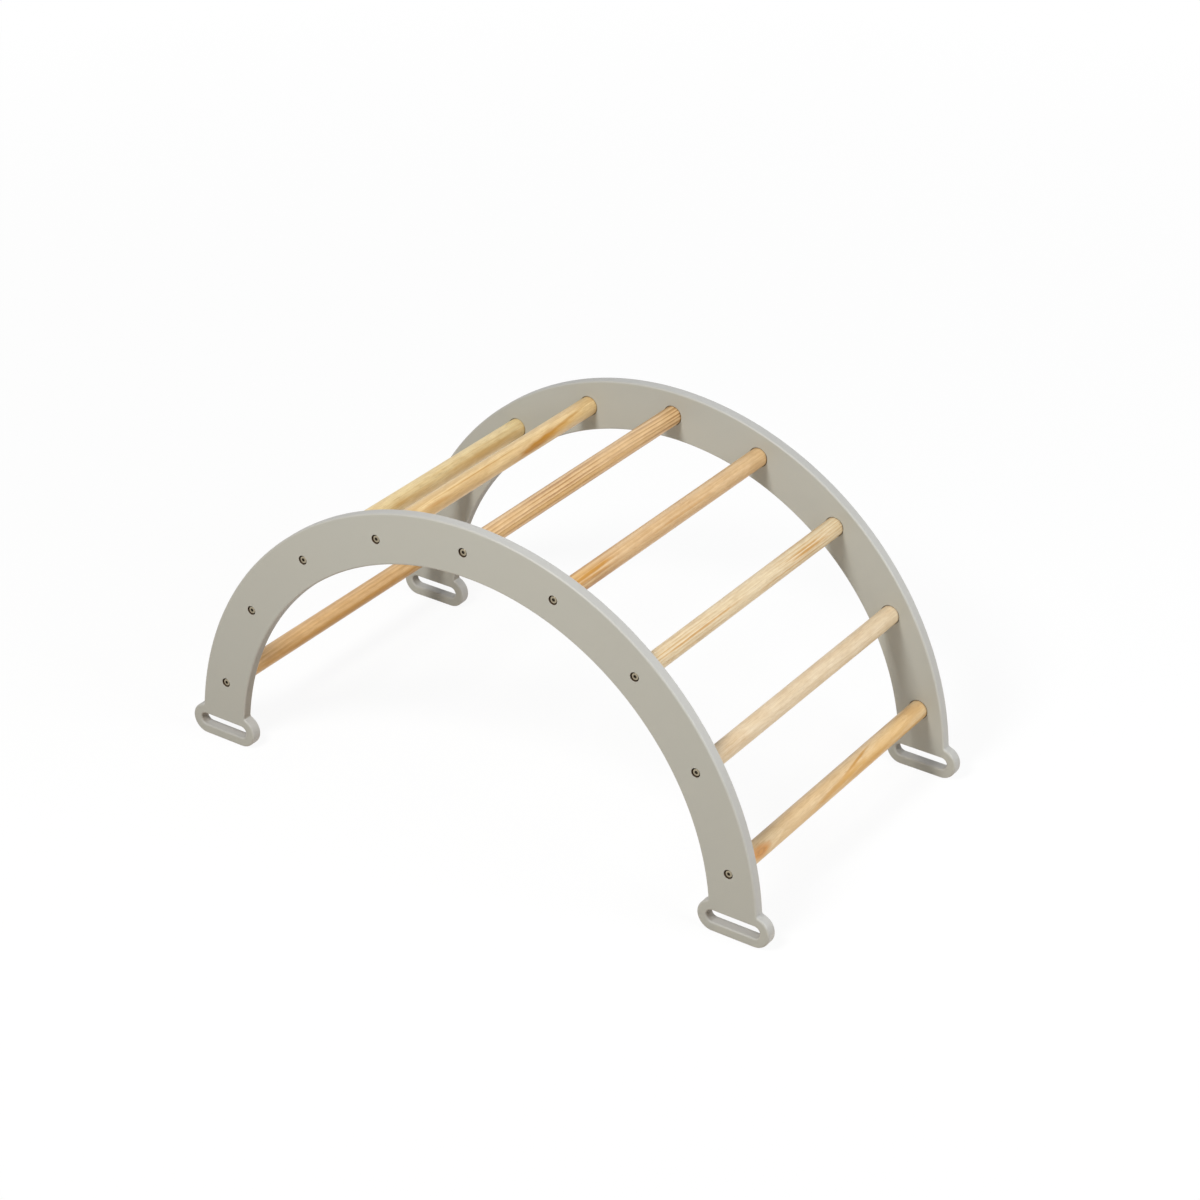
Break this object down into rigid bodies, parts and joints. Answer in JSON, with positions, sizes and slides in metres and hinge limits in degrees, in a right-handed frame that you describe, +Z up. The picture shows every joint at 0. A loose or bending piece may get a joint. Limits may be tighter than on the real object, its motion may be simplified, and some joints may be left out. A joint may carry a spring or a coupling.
{
  "type": "climbing arch",
  "caption": "Free-standing climbing arch for small children: two painted arched panels joined by round wooden rungs, with slotted feet that become handles when it is turned over to rock.",
  "frame": {"origin": "on the floor, under the middle of the arch", "axes": "+X along the arch from the left feet to the right feet, +Y along the rungs from the front panel to the back panel, +Z up"},
  "size_m": [1.0386, 0.555, 0.5085],
  "materials": {
    "panel_paint": "satin warm light-grey paint over smooth board",
    "rung_wood": "sanded softwood under a clear matt varnish",
    "bolt_plating": "bronze plating over steel",
    "insert_steel": "zinc-plated steel"
  },
  "bodies": {
    "root": {"side_panel_front": "panel_paint", "side_panel_back": "panel_paint", "rung_1": "rung_wood", "rung_2": "rung_wood", "rung_3": "rung_wood", "rung_4": "rung_wood", "rung_5": "rung_wood", "rung_6": "rung_wood", "rung_7": "rung_wood", "rung_8": "rung_wood", "rung_9": "rung_wood", "bolt_front_1": "bolt_plating", "bolt_front_2": "bolt_plating", "bolt_front_3": "bolt_plating", "bolt_front_4": "bolt_plating", "bolt_front_5": "bolt_plating", "bolt_front_6": "bolt_plating", "bolt_front_7": "bolt_plating", "bolt_front_8": "bolt_plating", "bolt_front_9": "bolt_plating", "bolt_back_1": "bolt_plating", "bolt_back_2": "bolt_plating", "bolt_back_3": "bolt_plating", "bolt_back_4": "bolt_plating", "bolt_back_5": "bolt_plating", "bolt_back_6": "bolt_plating", "bolt_back_7": "bolt_plating", "bolt_back_8": "bolt_plating", "bolt_back_9": "bolt_plating", "threaded_insert_front_1": "insert_steel", "threaded_insert_front_2": "insert_steel", "threaded_insert_front_3": "insert_steel", "threaded_insert_front_4": "insert_steel", "threaded_insert_front_5": "insert_steel", "threaded_insert_front_6": "insert_steel", "threaded_insert_front_7": "insert_steel", "threaded_insert_front_8": "insert_steel", "threaded_insert_front_9": "insert_steel", "threaded_insert_back_1": "insert_steel", "threaded_insert_back_2": "insert_steel", "threaded_insert_back_3": "insert_steel", "threaded_insert_back_4": "insert_steel", "threaded_insert_back_5": "insert_steel", "threaded_insert_back_6": "insert_steel", "threaded_insert_back_7": "insert_steel", "threaded_insert_back_8": "insert_steel", "threaded_insert_back_9": "insert_steel"}
  },
  "joints": []
}
